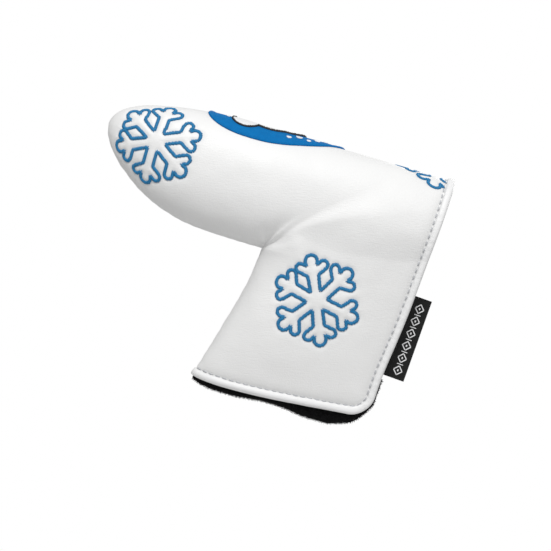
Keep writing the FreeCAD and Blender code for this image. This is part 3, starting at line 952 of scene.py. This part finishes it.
edge = [sole_place(*p)[0] + sole_place(*p)[1] * 0.2 for p in ellipse_outline(0.7)]
made = satin_edge("sole_patch_edging", edge, PATCH_BLUE, 1.3, 8, 0.62)
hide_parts("sole_patch_border")
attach(made, "cover_body")

cloud_line = cloud_outline()
made = dress(patch_slab("sole_cloud", cloud_line, 0.95, 0.5, 0.2), SNOW)
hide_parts("sole_motif")
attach(made, "cover_body")
edge = [sole_place(*p)[0] for p in cloud_line]
made = satin_edge("sole_cloud_outline", edge, INK, 0.85, 15, 1.15)
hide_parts("sole_motif_outline")
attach(made, "cover_body")

SNOW_DOTS = (  # X from the patch's centre, distance from the crest, and radius
    (6.5, -11.2, 1.2), (11.5, -8.4, 1.5), (16.5, -9.6, 1.0), (20.5, -6.0, 1.4), (24.8, -2.5, 1.0),
    (19.5, 2.5, 1.3), (13, 10.5, 1.5), (-2, 14.5, 1.1), (-13, 13.5, 1.5), (-25.5, 3.5, 1.2), (-25, -5, 1.0))
parts = Parts()
for x, arc, radius in SNOW_DOTS:
    centre = sole_place(PATCH["centre"] + x, arc)[0]
    for k in range(-4, 5):
        offset = radius * k / 4.3
        half = math.sqrt(max(radius ** 2 - offset ** 2, 0.04))
        spine = []
        for t in (-1, -0.5, 0, 0.5, 1):
            spot, normal = whole.nearest(centre + X * offset + Y * (half * t))
            spine.append(spot + normal * (0.62 + 0.3 * (1 - t * t)))
        parts.bar(spine, normal, (0.12, 0.2, 0.22, 0.2, 0.12), (0.1, 0.2, 0.22, 0.2, 0.1), 6)
made = dress(parts.made("sole_snow_dots"), SNOW)
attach(made, "cover_body")

# ---- side label

LABEL = {"low": 22.3, "high": 64.2, "tail": -4.5, "reach": 8.8, "back": -0.25, "thick": 0.32}


def label_sheet(name):
    """A woven tape folded in two: out from the seam, round a soft fold, and back."""
    radius = 0.3  # of the fold
    turn_at = LABEL["reach"] - radius
    path = [(u, -radius) for u in np.linspace(LABEL["tail"], turn_at, 16)]
    for a in np.radians(np.linspace(-70, 70, 7)):
        path.append((turn_at + radius * math.cos(a), radius * math.sin(a)))
    path += [(u, radius) for u in np.linspace(turn_at, LABEL["tail"], 16)]
    rows = []
    for z in np.linspace(LABEL["low"], LABEL["high"], 60):
        sway = 0.35 * noise.noise(Vector((z * 0.05, 3, 1)))
        rows.append([Vector((heel_line(z) + u, LABEL["back"] + y + sway * max(u, 0) / LABEL["reach"],
                             z - HEEL_LEAN * u)) for u, y in path])
    width = len(path)
    points, faces = [], []
    for layer in (0.0, 1.0):
        for row in rows:
            for k, place in enumerate(row):
                ahead = row[min(k + 1, width - 1)] - row[max(k - 1, 0)]
                out = Vector((-ahead.y, ahead.x, 0)).normalized()
                points.append(place - out * (LABEL["thick"] * (layer - 0.5)))
    sheet = len(rows) * width
    for i in range(len(rows) - 1):
        for k in range(width - 1):
            a = i * width + k
            quad = (a, a + 1, a + width + 1, a + width)
            faces.append(quad[::-1])
            faces.append(tuple(q + sheet for q in quad))
    rim = ([i * width for i in range(len(rows))] + [(len(rows) - 1) * width + k for k in range(1, width)]
           + [i * width + width - 1 for i in range(len(rows) - 2, -1, -1)] + list(range(width - 2, 0, -1)))
    for a, b in zip(rim, rim[1:] + rim[:1]):
        faces.append((a, b, b + sheet, a + sheet))
    return mesh_object(name, points, faces)


def woven_label(name, low, high):
    """Satin-woven label: fine ribs along it and finer picks across."""
    mat = material(name, high, 0.6, Specular_IOR_Level=0.25)
    where = add(mat, "ShaderNodeTexCoord")
    ribs = add(mat, "ShaderNodeTexWave", [("Vector", where, "Object")], Scale=520.0, Distortion=0.4)
    picks = add(mat, "ShaderNodeTexWave", [("Vector", where, "Object")], bands_direction="Z", Scale=640.0,
                Distortion=0.5)
    tone = mottle(mat, where, 420.0, 3.0)
    tint(mat, tone, "Fac", low, high)
    first = bump(mat, ribs, "Fac", 0.4, 0.00012)
    bump(mat, picks, "Fac", 0.4, 0.0001, first)
    return mat


WOVEN = woven_label("woven_label", (0.002, 0.002, 0.002), (0.007, 0.007, 0.007))
label = dress(label_sheet("side_label_woven"), WOVEN)
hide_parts("side_label")
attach(label, "front_flap")


def label_mark(u, z):
    """A place on the label's front, from the heel edge and up."""
    return Vector((heel_line(z) + u, LABEL["back"] - 0.3 - LABEL["thick"] / 2 - 0.02, z - HEEL_LEAN * u))


def woven_line(parts, corners, wide=0.28):
    line = [label_mark(*c) for c in corners]
    for start, end in zip(line, line[1:]):
        spine = [start.lerp(end, t) for t in (0, 0.25, 0.5, 0.75, 1)]
        parts.bar(spine, -Y, [wide] * 5, [0.12] * 5, 6)


DIAMOND_MIDDLE, DIAMOND_PITCH, DIAMONDS = 4.4, 6.4, 6  # distance from the heel edge, and along it
parts = Parts()
for k in range(DIAMONDS):
    u, z = DIAMOND_MIDDLE, LABEL["low"] + 4.4 + k * DIAMOND_PITCH
    woven_line(parts, [(u, z - 2.3), (6.6, z), (u, z + 2.3), (2.2, z), (u, z - 2.3)])
    woven_line(parts, [(u, z - 0.5), (u, z + 0.5)], 0.4)
for k in range(DIAMONDS - 1):
    z = LABEL["low"] + 7.6 + k * DIAMOND_PITCH
    woven_line(parts, [(2.8, z), (6.0, z)], 0.22)
made = dress(parts.made("side_label_diamonds"), SNOW)
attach(made, "front_flap")

# ---- hook and loop fastening

STRIP = {"low": 18.0, "high": 78.0, "near": 8.0, "far": 21.0}


def strip_tape(parts, face, back):
    """The woven backing, a thin plate with rounded corners, as rings round it from its foot to its head."""
    low, high, radius, half = STRIP["low"], STRIP["high"], 1.5, 9
    levels = np.concatenate([low + radius * (1 - np.cos(np.linspace(0.2, 1.57, 6))),
                             np.linspace(low + 3, high - 3, 36),
                             high - radius * (1 - np.cos(np.linspace(1.57, 0.2, 6)))])
    base = len(parts.points)
    for z in levels:
        round_off = max(low + radius - z, z - high + radius, 0)
        trim = radius - math.sqrt(max(radius ** 2 - round_off ** 2, 0))
        spots = np.linspace(STRIP["near"] + trim, STRIP["far"] - trim, half)
        for y, row in ((face, spots), (back, spots[::-1])):
            parts.points += [Vector((heel_line(z) - u, y, z)) for u in row]
    parts.faces += tube_faces(len(levels), 2 * half, base, 1 if face > back else -1)


def strip_places(pitch):
    """Places for hooks or loops all over a strip."""
    for z in np.arange(STRIP["low"] + 1.4, STRIP["high"] - 1.2, pitch):
        for u in np.arange(STRIP["near"] + 1.3, STRIP["far"] - 1.0, pitch):
            yield Vector((heel_line(z) - u, 0, z))


parts = Parts()
strip_tape(parts, -0.8, -1.55)
for place in strip_places(1.15):
    crook = Vector((0.3, 0, random.uniform(-0.05, 0.05)))
    spine = [place + Y * -0.85, place + Y * -0.5, place + Y * -0.25 + crook * 0.35, place + Y * -0.15 + crook,
             place + Y * -0.35 + crook * 1.6]
    taper = (0.15, 0.13, 0.12, 0.11, 0.06)
    parts.bar(spine, Z, taper, taper, 5)
HOOKS = woven_label("hook_tape", (0.020, 0.020, 0.021), (0.036, 0.036, 0.038))
made = dress(parts.made("hook_strip_tape"), HOOKS)
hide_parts("hook_strip")
bend(made)

parts = Parts()
strip_tape(parts, 0.8, 1.55)
for place in strip_places(0.9):
    a = random.uniform(0, math.pi)
    reach = Vector((math.cos(a), 0, math.sin(a))) * random.uniform(0.35, 0.6)
    height = random.uniform(0.45, 0.62)
    spine = [place + reach * t + Y * (0.82 - height * (1 - t * t)) for t in (-1, -0.7, 0, 0.7, 1)]
    parts.bar(spine, Z if abs(reach.x) > abs(reach.z) else X, [0.07] * 5, [0.07] * 5, 4)
LOOPS = plush_material("loop_tape", (0.022, 0.022, 0.023), (0.040, 0.040, 0.042))
made = dress(parts.made("loop_strip_tape"), LOOPS)
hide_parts("loop_strip")
bend(made)

# ---- plush roll along the back flap's mouth

# How far the roll hangs out at places along the mouth, X and drop.
DROP_X = [-48, -46, -38, -25, -10, 0, 10, 23, 33, 40, 43.2]
DROP = [0.6, 1.5, 2.8, 2.9, 2.2, 3.2, 5.5, 6.7, 4.4, 1.4, 0.8]


def mouth_roll():
    """Points and faces of the lining where it rolls out under the back flap, fullest towards the heel."""
    # X, Z and turn round the corner of each ring's middle.
    across = [(x, mouth_edge(x), 0.0) for x in np.linspace(-47.2, 32.4, 110)]
    corner_x, corner_z = heel_edge(RIM_RADIUS) - RIM_RADIUS, mouth_edge(33) + RIM_RADIUS
    for a in np.radians(np.linspace(-86, -6, 22)):
        across.append((corner_x + RIM_RADIUS * math.cos(a), corner_z + RIM_RADIUS * math.sin(a),
                       a + math.pi / 2))
    across += [(heel_edge(z), z, math.pi / 2) for z in np.linspace(12.5, 20, 10)]
    points, sides = [], 18
    for x, z, turn in across:
        hang = np.interp(x, DROP_X, DROP)
        hang = hang + (0.5 - hang) * ease(turn / 1.2)
        out = Vector((math.sin(turn), 0, -math.cos(turn)))
        depth = float(np.interp(x, [-45, -38, 0, 30, 44], [1.6, 4.5, 6.0, 3.2, 1.4]))
        middle = Vector((x, 1.0 + depth * 0.5, z)) + out * (hang / 2 - 1.4)
        for k in range(sides):
            a = 2 * math.pi * k / sides
            shaggy = 0.3 * noise.noise(Vector((x * 0.6, z * 0.6, k * 0.7)))
            points.append(middle + out * ((hang / 2 + 1.6 + shaggy) * math.cos(a))
                          + Y * ((depth * 0.5 + shaggy) * math.sin(a)))
    return points, tube_faces(len(across), sides)


points, faces = mouth_roll()
parts = Parts()
parts.points, parts.faces = list(points), list(faces)
for face in faces[:-2]:
    corners = [points[i] for i in face]
    normal = (corners[2] - corners[0]).cross(corners[3] - corners[1]).normalized()
    for _ in range(2):  # tufts on each face
        root = corners[0].lerp(corners[2], random.random())
        root = root.lerp(corners[1].lerp(corners[3], random.random()), 0.5)
        lean = (normal + Vector([random.uniform(-0.6, 0.6) for _ in range(3)]) - Z * 0.25).normalized()
        tall = random.uniform(0.5, 1.1)
        spine = [root - normal * 0.2, root + lean * tall * 0.5, root + lean * tall - Z * 0.1]
        parts.bar(spine, X if abs(lean.x) < 0.8 else Z, (0.13, 0.1, 0.03), (0.13, 0.1, 0.03), 3)
made = dress(parts.made("mouth_pile"), PLUSH)
bend(made)

# ---- camera, light and stage

AIM = Vector((-20.5, 0, 56.0)) * MM
CAMERA_DISTANCE = 1.0
CAMERA_ROLL = math.radians(15)
FLOOR_RADIUS, FLOOR_LEVEL = 260, -160
FILL_LIGHT = 0.46  # of the world on the object; the camera sees it white

camera_data = bpy.data.cameras.new("camera")
camera_data.lens = 132.0
camera = new_object("camera", camera_data)
bpy.context.scene.camera = camera
up = Vector((-math.sin(CAMERA_ROLL), 0, math.cos(CAMERA_ROLL)))
right = Vector((math.cos(CAMERA_ROLL), 0, math.sin(CAMERA_ROLL)))
turned = Matrix((right, up, -Y)).transposed().to_4x4()
camera.matrix_world = Matrix.Translation(AIM - Y * CAMERA_DISTANCE) @ turned


def soft_light(name, place, power, size):
    """A round lamp aimed at the cover; place and size in metres, power in watts."""
    data = bpy.data.lights.new(name, "AREA")
    data.shape, data.size, data.energy = "DISK", size, power
    light = new_object(name, data)
    light.location = place
    light.rotation_mode = "QUATERNION"
    light.rotation_quaternion = (AIM - Vector(place)).to_track_quat("-Z", "Y")


soft_light("key", (-0.3, -0.85, 0.97), 8.7, 0.4)
soft_light("right", (0.6, -1.1, 0.6), 3.7, 0.7)
soft_light("back", (0.5, 1.2, 0.6), 7.0, 0.8)
world = bpy.data.worlds.new("studio")
bpy.context.scene.world = world
world.use_nodes = True
sky = world.node_tree.nodes["Background"]
sky.inputs["Color"].default_value = (1, 1, 1, 1)
seen = world.node_tree.nodes.new("ShaderNodeLightPath")
level = world.node_tree.nodes.new("ShaderNodeMapRange")
level.inputs["To Min"].default_value = FILL_LIGHT
level.inputs["To Max"].default_value = 1.0
world.node_tree.links.new(seen.outputs["Is Camera Ray"], level.inputs["Value"])
world.node_tree.links.new(level.outputs["Result"], sky.inputs["Strength"])
bpy.context.scene.view_settings.view_transform = "Standard"

floor_points = [(0, 0, FLOOR_LEVEL)] + [(FLOOR_RADIUS * math.cos(a), FLOOR_RADIUS * math.sin(a), FLOOR_LEVEL)
                                        for a in np.linspace(0, 2 * math.pi, 128, endpoint=False)]
floor = mesh_object("floor", floor_points, [(0, 1 + k, 1 + (k + 1) % 128) for k in range(128)])
floor.data.materials.append(material("pale_floor", (0.62, 0.62, 0.62), 0.9))
